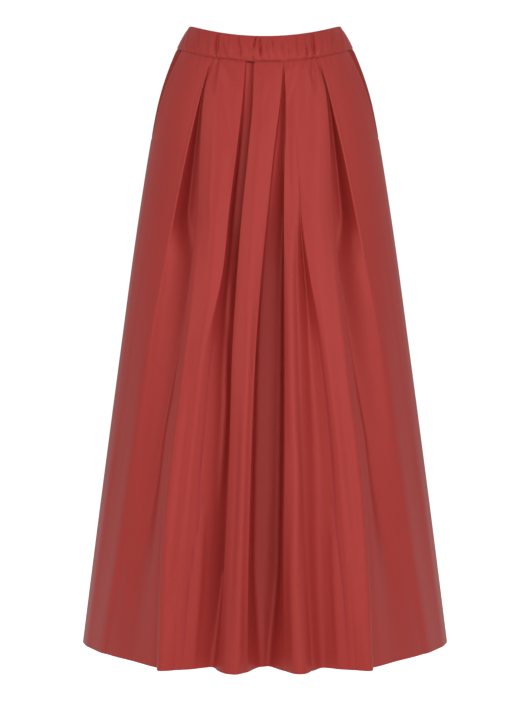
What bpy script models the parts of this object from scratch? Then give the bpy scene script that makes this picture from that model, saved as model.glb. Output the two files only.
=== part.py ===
# Flared skirt, one metre long, standing open in its worn shape.
# Metres, +Z up, front towards -Y. The origin is the centre of the waist opening, level with the
# middle of the waistband at the side seams. Left and right are as seen from the front.
import bmesh
import bpy
import numpy as np

# Walls and gaps
CLOTH = 0.0014
BAND_WALL = 0.0032
FACING_WALL = 0.0012
GAP = 0.0003

# Heights: the band and its seam dip from the side seams to the middle of the front and back
BAND_TOP = 0.019
BAND_TOP_DIP_FRONT = 0.030
BAND_TOP_DIP_BACK = 0.004
SEAM = -0.017
SEAM_DIP_FRONT = 0.034
SEAM_DIP_BACK = 0.010
DIP_CURVE = 1.6
HEM = -0.962

# Plan of the waistband: top edge and lower seam as (half width, front depth, back depth)
BAND_PLAN_TOP = (0.1200, 0.0970, 0.0950)
BAND_PLAN_SEAM = (0.1405, 0.1040, 0.1040)
BAND_PUFF = 0.0024
BAND_ROWS = (0.0, 0.08, 0.30, 0.60, 0.88, 1.0)
GATHERS = 22
GATHER_DEPTH = 0.0036
GATHER_AT_EDGE = 0.45
GATHER_COLUMNS = 3
# Each gather's depth varies by this share, and the gathers wander sideways in two waves of
# (shift as a share of the width, half turns across the width)
GATHER_UNEVEN = 0.30
GATHER_UNEVEN_TURN = 2.3
GATHER_WANDER = ((0.010, 7), (0.006, 13))

# Plan of the skirt at shares of the way down from the band seam to the hem
# share, half width, front depth, back depth, roundness (2 is an ellipse, less is more pointed)
SKIRT_PLAN = (
    (0.000, 0.1405, 0.1040, 0.1040, 2.00),
    (0.034, 0.1535, 0.1090, 0.1120, 2.00),
    (0.067, 0.1640, 0.1135, 0.1180, 2.00),
    (0.100, 0.1720, 0.1180, 0.1230, 2.00),
    (0.150, 0.1810, 0.1240, 0.1300, 1.97),
    (0.210, 0.1905, 0.1310, 0.1370, 1.95),
    (0.335, 0.2085, 0.1470, 0.1520, 1.90),
    (0.505, 0.2305, 0.1670, 0.1720, 1.83),
    (0.760, 0.2630, 0.1960, 0.2000, 1.73),
    (1.000, 0.2925, 0.2200, 0.2250, 1.60),
)

# Front pleats, from left to right. Each row gives its values at the nine shares of LEVELS.
# left and right: where the two lips of the pleat lie across the front
# depth: how far the cloth between the lips is folded in
# lift_left and lift_right: how far each lip stands out from the plan
# slope_left and slope_right: share of the pleat's width that the wall below a lip takes
# crisp_left and crisp_right: 1 is a pressed edge, 0 a soft roll
# tilt: how much shallower the floor is at its left or, below 0, at its right
LEVELS = (0.00, 0.06, 0.15, 0.25, 0.35, 0.50, 0.65, 0.82, 1.00)
OUTER_PLEAT = {
    "far": (0.0825, 0.0970, 0.1160, 0.1340, 0.1510, 0.1725, 0.1885, 0.2110, 0.2405),
    "near": (0.0775, 0.0935, 0.0990, 0.1010, 0.1090, 0.1260, 0.1435, 0.1500, 0.1495),
    "depth": (0.0020, 0.0060, 0.0190, 0.0270, 0.0280, 0.0240, 0.0170, 0.0100, 0.0040),
    "lift_far": (0.0, 0.0010, 0.0020, 0.0030, 0.0030, 0.0030, 0.0020, 0.0010, 0.0),
    "lift_near": (0.0, 0.0010, 0.0020, 0.0040, 0.0060, 0.0090, 0.0130, 0.0180, 0.0220),
    "slope_far": (0.20, 0.20, 0.20, 0.20, 0.30, 0.50, 0.50, 0.50, 0.50),
    "slope_near": (0.40, 0.30, 0.20, 0.20, 0.20, 0.30, 0.40, 0.50, 0.50),
    "crisp_far": (1.0, 1.0, 1.0, 0.9, 0.5, 0.3, 0.1, 0.0, 0.0),
    "crisp_near": (0.8, 0.9, 1.0, 1.0, 0.6, 0.3, 0.0, 0.0, 0.0),
    "tilt": (0.0, 0.10, 0.25, 0.50, 0.60, 0.50, 0.30, 0.10, 0.0),
}
PLEATS = (
    {   # outer left pleat
        "left": tuple(-x for x in OUTER_PLEAT["far"]),
        "right": tuple(-x for x in OUTER_PLEAT["near"]),
        "depth": OUTER_PLEAT["depth"],
        "lift_left": OUTER_PLEAT["lift_far"],
        "lift_right": OUTER_PLEAT["lift_near"],
        "slope_left": OUTER_PLEAT["slope_far"],
        "slope_right": OUTER_PLEAT["slope_near"],
        "crisp_left": OUTER_PLEAT["crisp_far"],
        "crisp_right": OUTER_PLEAT["crisp_near"],
        "tilt": OUTER_PLEAT["tilt"],
    },
    {   # inner left pleat
        "left": (-0.0300, -0.0335, -0.0420, -0.0525, -0.0610, -0.0885, -0.1045, -0.1165, -0.1250),
        "right": (-0.0170, -0.0185, -0.0255, -0.0345, -0.0415, -0.0490, -0.0525, -0.0595, -0.0680),
        "depth": (0.0040, 0.0130, 0.0210, 0.0270, 0.0320, 0.0350, 0.0370, 0.0360, 0.0320),
        "lift_left": (0.0, 0.0010, 0.0030, 0.0050, 0.0080, 0.0110, 0.0130, 0.0180, 0.0220),
        "lift_right": (0.0, 0.0010, 0.0020, 0.0030, 0.0040, 0.0050, 0.0050, 0.0040, 0.0030),
        "slope_left": (0.20, 0.20, 0.20, 0.20, 0.20, 0.70, 0.80, 0.75, 0.60),
        "slope_right": (0.20, 0.20, 0.20, 0.20, 0.20, 0.16, 0.16, 0.20, 0.35),
        "crisp_left": (1.0, 1.0, 1.0, 1.0, 0.8, 0.3, 0.2, 0.2, 0.2),
        "crisp_right": (1.0, 1.0, 1.0, 1.0, 1.0, 1.0, 1.0, 0.9, 0.5),
        "tilt": (0.50, 0.50, 0.25, 0.25, 0.30, 0.10, 0.10, 0.05, 0.0),
    },
    {   # centre pleat
        "left": (0.0280, 0.0240, 0.0140, 0.0050, -0.0040, -0.0140, -0.0190, -0.0230, -0.0255),
        "right": (0.0300, 0.0295, 0.0290, 0.0280, 0.0280, 0.0285, 0.0280, 0.0265, 0.0295),
        "depth": (0.0, 0.0090, 0.0180, 0.0270, 0.0370, 0.0450, 0.0470, 0.0450, 0.0400),
        "lift_left": (0.0, 0.0010, 0.0010, 0.0010, 0.0020, 0.0040, 0.0060, 0.0030, -0.0050),
        "lift_right": (0.0, 0.0010, 0.0010, 0.0010, 0.0020, 0.0030, 0.0040, 0.0, -0.0080),
        "slope_left": (0.25, 0.25, 0.20, 0.18, 0.16, 0.16, 0.16, 0.18, 0.25),
        "slope_right": (0.25, 0.20, 0.18, 0.16, 0.16, 0.16, 0.18, 0.25, 0.35),
        "crisp_left": (1.0, 1.0, 1.0, 1.0, 1.0, 1.0, 1.0, 1.0, 0.8),
        "crisp_right": (1.0, 1.0, 1.0, 1.0, 1.0, 1.0, 0.9, 0.6, 0.5),
        "tilt": (0.60, 0.60, 0.60, 0.45, 0.20, 0.15, 0.15, 0.10, 0.0),
    },
    {   # inner right pleat, closed at the band and opening lower down
        "left": (0.0490, 0.0485, 0.0480, 0.0485, 0.0465, 0.0490, 0.0530, 0.0595, 0.0680),
        "right": (0.0520, 0.0515, 0.0510, 0.0535, 0.0640, 0.0875, 0.1045, 0.1155, 0.1250),
        "depth": (0.0, 0.0, 0.0, 0.0025, 0.0130, 0.0210, 0.0260, 0.0280, 0.0280),
        "lift_left": (0.0, 0.0, 0.0010, 0.0020, 0.0030, 0.0040, 0.0050, 0.0040, 0.0020),
        "lift_right": (0.0, 0.0, 0.0010, 0.0030, 0.0060, 0.0110, 0.0130, 0.0180, 0.0220),
        "slope_left": (0.50, 0.50, 0.60, 0.70, 0.60, 0.20, 0.16, 0.20, 0.35),
        "slope_right": (0.40, 0.30, 0.25, 0.20, 0.25, 0.70, 0.80, 0.75, 0.60),
        "crisp_left": (0.3, 0.3, 0.3, 0.3, 0.5, 1.0, 1.0, 0.9, 0.5),
        "crisp_right": (0.5, 0.8, 1.0, 1.0, 1.0, 0.4, 0.2, 0.2, 0.2),
        "tilt": (0.0, 0.0, 0.0, 0.30, 0.30, 0.0, -0.10, -0.10, 0.0),
    },
    {   # outer right pleat, the outer left one mirrored
        "left": OUTER_PLEAT["near"],
        "right": OUTER_PLEAT["far"],
        "depth": OUTER_PLEAT["depth"],
        "lift_left": OUTER_PLEAT["lift_near"],
        "lift_right": OUTER_PLEAT["lift_far"],
        "slope_left": OUTER_PLEAT["slope_near"],
        "slope_right": OUTER_PLEAT["slope_far"],
        "crisp_left": OUTER_PLEAT["crisp_near"],
        "crisp_right": OUTER_PLEAT["crisp_far"],
        "tilt": tuple(-t for t in OUTER_PLEAT["tilt"]),
    },
)

# Rise of the cloth between two pleats, at the same nine shares, from the left side to the right
STRIP_CROWNS = (
    (0.0, 0.0, 0.0, 0.0, 0.0, 0.0, 0.0, 0.0, 0.0),
    (0.0020, 0.0030, 0.0040, 0.0050, 0.0050, 0.0060, 0.0080, 0.0120, 0.0170),
    (0.0020, 0.0030, 0.0040, 0.0050, 0.0060, 0.0050, 0.0050, 0.0100, 0.0200),
    (0.0010, 0.0015, 0.0020, 0.0025, 0.0040, 0.0050, 0.0060, 0.0110, 0.0210),
    (0.0010, 0.0020, 0.0040, 0.0050, 0.0050, 0.0060, 0.0080, 0.0120, 0.0170),
    (0.0, 0.0, 0.0, 0.0, 0.0, 0.0, 0.0, 0.0, 0.0),
)

# Where the skirt has a row of points, as shares of the way down
FRONT_ROWS = (0.0, 0.022, 0.05, 0.08, 0.11, 0.132, 0.145, 0.15, 0.165, 0.21, 0.26, 0.31, 0.36, 0.42,
              0.48, 0.54, 0.60, 0.66, 0.73, 0.80, 0.87, 0.93, 1.0)
BACK_ROWS = (0.0, 0.025, 0.06, 0.10, 0.15, 0.21, 0.28, 0.36, 0.45, 0.54, 0.63, 0.72, 0.81, 0.90, 1.0)

# Columns across each zone of the front, as shares of the zone's length
SIDE_COLUMNS = (0.0, 0.12, 0.25, 0.38, 0.50, 0.61, 0.72, 0.82, 0.91)
PLEAT_COLUMNS = (0.0, 0.09, 0.20, 0.32, 0.44, 0.56, 0.68, 0.80, 0.91)
STRIP_COLUMNS = (0.0, 0.15, 0.33, 0.50, 0.67, 0.85)

# Slanted pockets: the mouth runs from the band, this far forward of the side seam, down to the seam
POCKET_MOUTH = 0.041
POCKET_END = 0.150
POCKET_CURVE = 0.18
POCKET_LIFT = 0.0012
POCKET_LIFT_REACH = 0.012
FACING_LAP = 0.014
FACING_GAP = 0.0010
FACING_FADE = (0.004, 0.022)
FACING_ROWS = FRONT_ROWS[:9]
FACING_COLUMNS = 6

# Back folds: where each trough starts at the band and ends at the hem, as shares of the way across
# the back, with its depth at the hem and its half width there in the same shares
# band, hem, depth, half width
BACK_FOLDS = (
    (0.15, 0.115, 0.020, 0.055),
    (0.27, 0.235, 0.034, 0.055),
    (0.39, 0.370, 0.040, 0.060),
    (0.50, 0.495, 0.028, 0.045),
    (0.60, 0.625, 0.042, 0.062),
    (0.72, 0.755, 0.032, 0.055),
    (0.85, 0.880, 0.022, 0.058),
)
BACK_FOLD_AT_BAND = 0.0022
BACK_FOLD_GROWTH = 0.75
BACK_CROWN = 0.5
BACK_SIDE_FADE = 0.13
BACK_GATHERS = 20
BACK_GATHER_DEPTH = 0.0020
BACK_GATHER_REACH = 0.22
BACK_GATHER_WANDER = ((0.006, 11), (0.004, 17))
BACK_TROUGH_WIDTH = 0.62
BACK_COLUMNS = 64

# How finely a level's outline is worked out before its columns are read, and how round its folds are
ZONE_STEPS = 80
BACK_STEPS = 900
FINE_STEPS = 1800
KERNEL_REACH = 4
FOLD_ROUND = 0.0022
BACK_FOLD_ROUND = 0.0040
SHARP_EDGE = 50

RED = (0.384, 0.047, 0.040, 1.0)
RED_SHADE = (0.310, 0.036, 0.031, 1.0)


def through(levels, values, share):
    # smooth curve through the values that never runs past them
    levels = np.asarray(levels, float)
    values = np.asarray(values, float)
    step = np.diff(levels)
    slope = np.diff(values) / step
    tangent = np.zeros_like(values)
    tangent[0] = slope[0]
    tangent[-1] = slope[-1]
    for i in range(1, len(values) - 1):
        if slope[i - 1] * slope[i] > 0:
            tangent[i] = 2 * slope[i - 1] * slope[i] / (slope[i - 1] + slope[i])
    k = int(np.clip(np.searchsorted(levels, share) - 1, 0, len(step) - 1))
    t = (share - levels[k]) / step[k]
    rise = values[k] * (1 + 2 * t) * (1 - t) ** 2 + values[k + 1] * t * t * (3 - 2 * t)
    return rise + step[k] * (tangent[k] * t * (1 - t) ** 2 - tangent[k + 1] * t * t * (1 - t))


def ease(low, high, value):
    t = np.clip((value - low) / (high - low), 0.0, 1.0)
    return t * t * (3 - 2 * t)


def wandered(across, waves):
    # shares of the width, shifted sideways between the two ends, which stay where they are
    shift = sum(size * np.sin(turns * np.pi * across) for size, turns in waves)
    return across + shift * np.sin(np.pi * across)


def skirt_plan(share):
    columns = list(zip(*SKIRT_PLAN))
    return [through(columns[0], column, share) for column in columns[1:]]


def plan_points(half_width, depth, roundness, angle):
    # x and distance from the side plane on a rounded plan; angle is pi at the left side, 0 at the right
    cosine = np.cos(angle)
    sine = np.clip(np.sin(angle), 0.0, 1.0)
    x = half_width * np.sign(cosine) * np.abs(cosine) ** (2 / roundness)
    return x, depth * sine ** (2 / roundness)


def plan_normals(half_width, depth, roundness, angle):
    # outward direction on the plan, from the gradient of its equation
    x, y = plan_points(half_width, depth, roundness, angle)
    gx = np.sign(x) * np.abs(x / half_width) ** (roundness - 1) / half_width
    gy = np.abs(y / depth) ** (roundness - 1) / depth
    length = np.hypot(gx, gy)
    return gx / length, gy / length


def angle_at(half_width, roundness, x):
    return np.arccos(np.sign(x) * np.clip(np.abs(x) / half_width, 0, 1) ** (roundness / 2))


def fold_wall(along, crisp):
    # the wall of a fold, from 0 at its lip to 1 at its floor
    along = np.clip(along, 0.0, 1.0)
    return crisp * np.sin(0.5 * np.pi * along) + (1 - crisp) * along * along * (3 - 2 * along)


def pleat_profile(steps, now):
    # depth across a pleat, 0 at its lips and 1 on its floor; steps run from 0 to 1 across it
    left = fold_wall(steps / now["slope_left"], now["crisp_left"])
    right = fold_wall((1 - steps) / now["slope_right"], now["crisp_right"])
    floor = 1 - max(now["tilt"], 0.0) * (1 - steps) - max(-now["tilt"], 0.0) * steps
    return left * right * floor


def front_zones(share):
    # the front at one level as zones of (angle, rise from the plan): side, pleat, strip, ..., side
    half_width, depth, _, roundness = skirt_plan(share)
    zones = []
    steps = np.linspace(0.0, 1.0, ZONE_STEPS)
    angle_before = np.pi
    lift_before = 0.0
    for pleat, crowns in zip(PLEATS, STRIP_CROWNS):
        now = {name: through(LEVELS, row, share) for name, row in pleat.items()}
        crown = through(LEVELS, crowns, share)
        angle_left = angle_at(half_width, roundness, now["left"])
        rise = lift_before + (now["lift_left"] - lift_before) * steps + crown * np.sin(np.pi * steps)
        zones.append((angle_before + (angle_left - angle_before) * steps, rise))
        across = now["left"] + (now["right"] - now["left"]) * steps
        rise = now["lift_left"] + (now["lift_right"] - now["lift_left"]) * steps
        rise = rise - now["depth"] * pleat_profile(steps, now)
        zones.append((angle_at(half_width, roundness, across), rise))
        angle_before = zones[-1][0][-1]
        lift_before = now["lift_right"]
    crown = through(LEVELS, STRIP_CROWNS[-1], share)
    rise = lift_before * (1 - steps) + crown * np.sin(np.pi * steps)
    zones.append((angle_before * (1 - steps), rise))
    return zones


def back_zones(share):
    # the back at one level as one zone; its angle also runs from the left side to the right
    steps = np.linspace(0.0, 1.0, BACK_STEPS)
    growth = share ** BACK_FOLD_GROWTH
    rise = np.zeros_like(steps)
    for band, hem, depth, width in BACK_FOLDS:
        place = band + (hem - band) * share
        here = BACK_FOLD_AT_BAND * (1 - share) + depth * growth
        trough = np.exp(-((steps - place) / (BACK_TROUGH_WIDTH * width)) ** 2)
        rise = rise + here * (BACK_CROWN / len(BACK_FOLDS) - trough)
    rise = rise * ease(0.0, BACK_SIDE_FADE, np.minimum(steps, 1 - steps))
    fade = max(0.0, 1 - share / BACK_GATHER_REACH) ** 2
    wave = np.cos(2 * np.pi * BACK_GATHERS * wandered(steps, BACK_GATHER_WANDER))
    rise = rise + BACK_GATHER_DEPTH * fade * wave * np.sin(np.pi * steps)
    return [(np.pi * (1 - steps), rise)]


def rounded_line(zones, plan, roundness, fold_round):
    # joins the zones, reads them at even steps and rounds the folds, so that the wall can follow them
    angle = np.concatenate([zone[0] for zone in zones])
    rise = np.concatenate([zone[1] for zone in zones])
    half_width, depth = plan
    x, y = plan_points(half_width, depth, roundness, angle)
    nx, ny = plan_normals(half_width, depth, roundness, angle)
    x = x + nx * rise
    y = y + ny * rise
    run = np.concatenate([[0.0], np.cumsum(np.hypot(np.diff(x), np.diff(y)))])
    ends = np.cumsum([len(zone[0]) for zone in zones]) - 1
    marks = np.concatenate([[0.0], run[ends]])
    even = np.linspace(0.0, run[-1], FINE_STEPS)
    line = np.column_stack([np.interp(even, run, v) for v in (x, y, np.sin(angle))])
    spread = fold_round / (even[1] - even[0])
    reach = int(KERNEL_REACH * spread)
    kernel = np.exp(-0.5 * (np.arange(-reach, reach + 1) / spread) ** 2)
    kernel = kernel / kernel.sum()
    flip = np.array([1.0, -1.0, -1.0])
    before = line[1:reach + 1][::-1] * flip
    after = line[-reach - 1:-1][::-1] * flip
    padded = np.vstack([before, line, after])
    line = np.column_stack([np.convolve(padded[:, k], kernel, "valid") for k in range(3)])
    along = np.gradient(line[:, :2], axis=0)
    along = along / np.linalg.norm(along, axis=1)[:, None]
    normal = np.column_stack([-along[:, 1], along[:, 0]])
    return even, line, normal, marks


def read_line(fine, at, inset):
    # points on the line at distances along it, moved in from the outer surface
    even, line, normal, _ = fine
    moved = line[:, :2] - normal * inset
    return np.column_stack([np.interp(at, even, moved[:, 0]), np.interp(at, even, moved[:, 1]),
                            np.interp(at, even, np.clip(line[:, 2], 0.0, 1.0))])


def heights(share, sine, dip):
    seam = SEAM - dip * sine ** DIP_CURVE
    return seam + (HEM - seam) * share


def front_fine(share):
    half_width, depth, _, roundness = skirt_plan(share)
    return rounded_line(front_zones(share), (half_width, depth), roundness, FOLD_ROUND)


def back_fine(share):
    half_width, _, depth, roundness = skirt_plan(share)
    return rounded_line(back_zones(share), (half_width, depth), roundness, BACK_FOLD_ROUND)


def pocket_mouth(share):
    # distance from the side seam to the slanted edge of the front panel
    left = max(0.0, 1 - share / POCKET_END)
    return max(GAP / 2, POCKET_MOUTH * left ** POCKET_CURVE)


def front_columns(share, marks):
    mouth = pocket_mouth(share)
    bounds = marks.copy()
    bounds[0] = mouth
    bounds[-1] = marks[-1] - mouth
    at = []
    last = len(bounds) - 2
    for zone in range(last + 1):
        shares = STRIP_COLUMNS
        if zone == 0:
            shares = SIDE_COLUMNS
        elif zone == last:
            shares = tuple(1 - s for s in reversed(SIDE_COLUMNS))
            shares = (0.0,) + shares[:-1]
        elif zone % 2:
            shares = PLEAT_COLUMNS
        at += [bounds[zone] + (bounds[zone + 1] - bounds[zone]) * s for s in shares]
    return np.array(at + [bounds[-1]])


def wall(name, outer, inner, colour, mirrored_from=None):
    # closed wall between two grids of points of the same size; from the column mirrored_from on, the
    # triangles lean the other way, so that the right side is the left one mirrored
    rows = len(outer)
    columns = len(outer[0])
    if mirrored_from is None:
        mirrored_from = columns
    mesh = bmesh.new()
    out, within = [[[mesh.verts.new(point) for point in row] for row in grid] for grid in (outer, inner)]
    for r in range(rows - 1):
        for c in range(columns - 1):
            for skin, turn in ((out, 1), (within, -1)):
                a, b, d, e = skin[r][c], skin[r + 1][c], skin[r + 1][c + 1], skin[r][c + 1]
                halves = ((a, b, d), (a, d, e)) if c < mirrored_from else ((a, b, e), (b, d, e))
                for corners in halves:
                    mesh.faces.new(corners[::turn])
    for r in range(rows - 1):
        for c, turn in ((0, 1), (columns - 1, -1)):
            rim = (out[r][c], within[r][c], within[r + 1][c], out[r + 1][c])
            mesh.faces.new(rim[::turn])
    for c in range(columns - 1):
        for r, turn in ((0, -1), (rows - 1, 1)):
            rim = (out[r][c], within[r][c], within[r][c + 1], out[r][c + 1])
            mesh.faces.new(rim[::turn])
    bmesh.ops.recalc_face_normals(mesh, faces=mesh.faces)
    if mesh.calc_volume(signed=True) < 0:
        bmesh.ops.reverse_faces(mesh, faces=mesh.faces)
    data = bpy.data.meshes.new(name)
    mesh.to_mesh(data)
    mesh.free()
    data.shade_smooth()
    data.set_sharp_from_angle(angle=np.radians(SHARP_EDGE))
    piece = bpy.data.objects.new(name, data)
    bpy.context.scene.collection.objects.link(piece)
    data.materials.append(cloth_material(name, colour))
    return piece


def cloth_material(name, colour):
    material = bpy.data.materials.new(name + "_cloth")
    material.use_nodes = True
    shader = material.node_tree.nodes["Principled BSDF"]
    shader.inputs["Base Color"].default_value = colour
    shader.inputs["Roughness"].default_value = 0.55
    shader.inputs["Metallic"].default_value = 0.0
    return material


def placed(points, share, dip, side):
    # plan points to space; side is -1 for the front and +1 for the back
    z = heights(share, points[:, 2], dip)
    return [(x, side * y, height) for x, y, height in zip(points[:, 0], points[:, 1], z)]


def make_front_panel():
    outer = []
    inner = []
    for share in FRONT_ROWS:
        fine = front_fine(share)
        at = front_columns(share, fine[3])
        mouth = pocket_mouth(share)
        from_edge = np.minimum(at, fine[3][-1] - at) - mouth
        open_share = np.clip(share / POCKET_END, 0, 1)
        lift = POCKET_LIFT * 4 * open_share * (1 - open_share) * np.exp(-(from_edge / POCKET_LIFT_REACH) ** 2)
        skin = read_line(fine, at, 0.0)
        back = read_line(fine, at, CLOTH)
        push = (skin[:, :2] - back[:, :2]) / CLOTH
        skin[:, :2] += push * lift[:, None]
        back[:, :2] += push * lift[:, None]
        outer.append(placed(skin, share, SEAM_DIP_FRONT, -1))
        inner.append(placed(back, share, SEAM_DIP_FRONT, -1))
    return wall("front_panel", outer, inner, RED, len(outer[0]) // 2)


def make_back_panel():
    outer = []
    inner = []
    for share in BACK_ROWS:
        fine = back_fine(share)
        length = fine[3][-1]
        at = np.linspace(GAP / 2, length - GAP / 2, BACK_COLUMNS + 1)
        outer.append(placed(read_line(fine, at, 0.0), share, SEAM_DIP_BACK, 1))
        inner.append(placed(read_line(fine, at, CLOTH), share, SEAM_DIP_BACK, 1))
    return wall("back_panel", outer, inner, RED, len(outer[0]) // 2)


def make_facing(name, side):
    # the side piece under a pocket mouth, level with the back panel at the side seam
    outer = []
    inner = []
    for share in FACING_ROWS:
        fine = front_fine(share)
        mouth = pocket_mouth(share)
        far = mouth + FACING_LAP
        at = np.linspace(GAP / 2, far, FACING_COLUMNS + 1)
        inset = (CLOTH + FACING_GAP) * (1 - ease(*FACING_FADE, mouth - at))
        skin = []
        back = []
        for a, depth in zip(at, inset):
            place = a if side < 0 else fine[3][-1] - a
            skin.append(read_line(fine, np.array([place]), depth)[0])
            back.append(read_line(fine, np.array([place]), depth + FACING_WALL)[0])
        outer.append(placed(np.array(skin), share, SEAM_DIP_FRONT, -1))
        inner.append(placed(np.array(back), share, SEAM_DIP_FRONT, -1))
    return wall(name, outer, inner, RED_SHADE)


def make_band(name, side):
    # half of the elastic casing: gathers raised on the outside, plain inside, puffed at mid height
    top_dip = BAND_TOP_DIP_FRONT if side < 0 else BAND_TOP_DIP_BACK
    seam_dip = SEAM_DIP_FRONT if side < 0 else SEAM_DIP_BACK
    which = 1 if side < 0 else 2
    columns = GATHERS * GATHER_COLUMNS
    across = wandered(np.linspace(0.0, 1.0, columns + 1), GATHER_WANDER)
    angle = np.pi * (1 - across)
    crease = np.where(np.arange(columns + 1) % GATHER_COLUMNS == 0, 1.0, 0.0)
    crease[0] = 0.0
    crease[-1] = 0.0
    uneven = 1 - GATHER_UNEVEN + GATHER_UNEVEN * np.sin(GATHER_UNEVEN_TURN * np.arange(columns + 1) + side)
    outer = []
    inner = []
    for row in BAND_ROWS:
        plan = [a + (b - a) * row for a, b in zip(BAND_PLAN_TOP, BAND_PLAN_SEAM)]
        half_width, depth = plan[0], plan[which]
        x, y = plan_points(half_width, depth, 2.0, angle)
        nx, ny = plan_normals(half_width, depth, 2.0, angle)
        puff = BAND_PUFF * np.sin(np.pi * row) ** 0.5 if 0 < row < 1 else 0.0
        pinch = GATHER_AT_EDGE + (1 - GATHER_AT_EDGE) * np.sin(np.pi * row)
        rise = puff - GATHER_DEPTH * crease * uneven * pinch
        sine = np.sin(angle)
        top = BAND_TOP - top_dip * sine ** DIP_CURVE
        seam = SEAM - seam_dip * sine ** DIP_CURVE + GAP
        z = top + (seam - top) * row
        skin = np.column_stack([x + nx * rise, y + ny * rise])
        back = np.column_stack([x - nx * BAND_WALL, y - ny * BAND_WALL])
        for grid, points in ((outer, skin), (inner, back)):
            points[:, 1] = np.maximum(points[:, 1], GAP / 2)
            grid.append([(a, side * b, height) for (a, b), height in zip(points, z)])
    return wall(name, outer, inner, RED, len(outer[0]) // 2)


def main():
    for old in list(bpy.data.objects):
        bpy.data.objects.remove(old, do_unlink=True)
    make_band("waistband_front", -1)
    make_band("waistband_back", 1)
    make_front_panel()
    make_back_panel()
    make_facing("pocket_facing_left", -1)
    make_facing("pocket_facing_right", 1)


main()
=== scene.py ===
import math

import bpy
import numpy as np
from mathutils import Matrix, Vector


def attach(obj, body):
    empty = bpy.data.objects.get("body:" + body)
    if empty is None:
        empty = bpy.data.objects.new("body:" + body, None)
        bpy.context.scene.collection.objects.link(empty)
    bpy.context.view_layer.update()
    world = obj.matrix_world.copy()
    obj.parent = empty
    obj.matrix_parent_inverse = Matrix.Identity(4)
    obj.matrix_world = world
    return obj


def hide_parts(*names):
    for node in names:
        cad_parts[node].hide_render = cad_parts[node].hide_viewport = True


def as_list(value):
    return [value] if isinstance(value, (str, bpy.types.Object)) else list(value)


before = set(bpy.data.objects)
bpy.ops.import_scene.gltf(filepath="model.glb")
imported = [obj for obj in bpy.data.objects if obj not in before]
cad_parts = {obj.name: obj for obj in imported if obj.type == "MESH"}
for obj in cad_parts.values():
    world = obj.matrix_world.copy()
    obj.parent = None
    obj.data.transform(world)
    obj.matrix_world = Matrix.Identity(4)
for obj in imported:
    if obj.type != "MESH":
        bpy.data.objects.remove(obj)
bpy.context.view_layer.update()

print("frame loaded:", sorted(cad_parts))

# Everything is in metres, +Z up, front towards -Y. The origin is the middle of the waist opening.
# Left and right are as seen from the front. Crease heights and widths are in millimetres.
mm = 0.001

skirtForm = {
    "seamHeight": -0.017,       # the seam under the band, at the side seams
    "seamDipFront": 0.034,      # how much lower it is in the middle of the front and back
    "seamDipBack": 0.01,
    "dipCurve": 1.6,
    "hemHeight": -0.962,
    "clothLength": 0.945,
    # share of the way down, half width, front depth, back depth, roundness (2 is an ellipse)
    "plan": [
        (0.0, 0.1405, 0.104, 0.104, 2.0),
        (0.034, 0.1535, 0.109, 0.112, 2.0),
        (0.067, 0.164, 0.1135, 0.118, 2.0),
        (0.1, 0.172, 0.118, 0.123, 2.0),
        (0.15, 0.181, 0.124, 0.13, 1.97),
        (0.21, 0.1905, 0.131, 0.137, 1.95),
        (0.335, 0.2085, 0.147, 0.152, 1.9),
        (0.505, 0.2305, 0.167, 0.172, 1.83),
        (0.76, 0.263, 0.196, 0.2, 1.73),
        (1.0, 0.2925, 0.22, 0.225, 1.6),
    ],
    "seamTuck": 0.001,         # how far the cloth rolls in at the band seam, and over what height
    "seamTuckReach": 0.005,
    "clothThickness": 0.0008,
    "sharpAngle": 75,           # degrees; a pressed edge is softer than this
    "sideTuck": 0.0005,         # the same along the side seams
    "sideTuckReach": 0.003,
    "gap": 0.00001,             # between two pieces where they are sewn
    "hemTurn": 0.018,           # the hem and the side seams are double on the inside
    "seamTurn": 0.012,
    "turnStep": 0.002,
    "turnThickness": 0.0007,
    "evenRows": 0.36,           # share of the rows' spacing that is even, the rest follows a curve
    "rowCurve": 1.7,
    "hemRows": (0.0022, 0.0006),    # the last rows, as shares of the length above the hem
}


# curves and plans

def smoothThrough(levels, values, share):
    # smooth curve through the values that never runs past them
    levels = np.asarray(levels, float)
    values = np.asarray(values, float)
    step = np.diff(levels)
    slope = np.diff(values) / step
    tangent = np.zeros_like(values)
    tangent[0] = slope[0]
    tangent[-1] = slope[-1]
    for i in range(1, len(values) - 1):
        if slope[i - 1] * slope[i] > 0:
            tangent[i] = 2 * slope[i - 1] * slope[i] / (slope[i - 1] + slope[i])
    k = int(np.clip(np.searchsorted(levels, share) - 1, 0, len(step) - 1))
    t = (share - levels[k]) / step[k]
    between = values[k] * (1 + 2 * t) * (1 - t) ** 2 + values[k + 1] * t * t * (3 - 2 * t)
    return between + step[k] * (tangent[k] * t * (1 - t) ** 2 - tangent[k + 1] * t * t * (1 - t))


def easeBetween(low, high, value):
    t = np.clip((value - low) / (high - low), 0, 1)
    return t * t * (3 - 2 * t)


def skirtPlan(share):
    columns = list(zip(*skirtForm["plan"]))
    return [smoothThrough(columns[0], column, share) for column in columns[1:]]


def planPoints(halfWidth, depth, roundness, angle):
    # angle is pi at the left side seam and 0 at the right one
    cosine = np.cos(angle)
    sine = np.clip(np.sin(angle), 0, 1)
    x = halfWidth * np.sign(cosine) * np.abs(cosine) ** (2 / roundness)
    return x, depth * sine ** (2 / roundness)


def planNormals(halfWidth, depth, roundness, angle):
    x, y = planPoints(halfWidth, depth, roundness, angle)
    across = np.sign(x) * np.abs(x / halfWidth) ** (roundness - 1) / halfWidth
    out = np.abs(y / depth) ** (roundness - 1) / depth
    length = np.hypot(across, out)
    return across / length, out / length


def angleFor(halfWidth, roundness, x):
    return np.arccos(np.sign(x) * np.clip(np.abs(x) / halfWidth, 0, 1) ** (roundness / 2))


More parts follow.
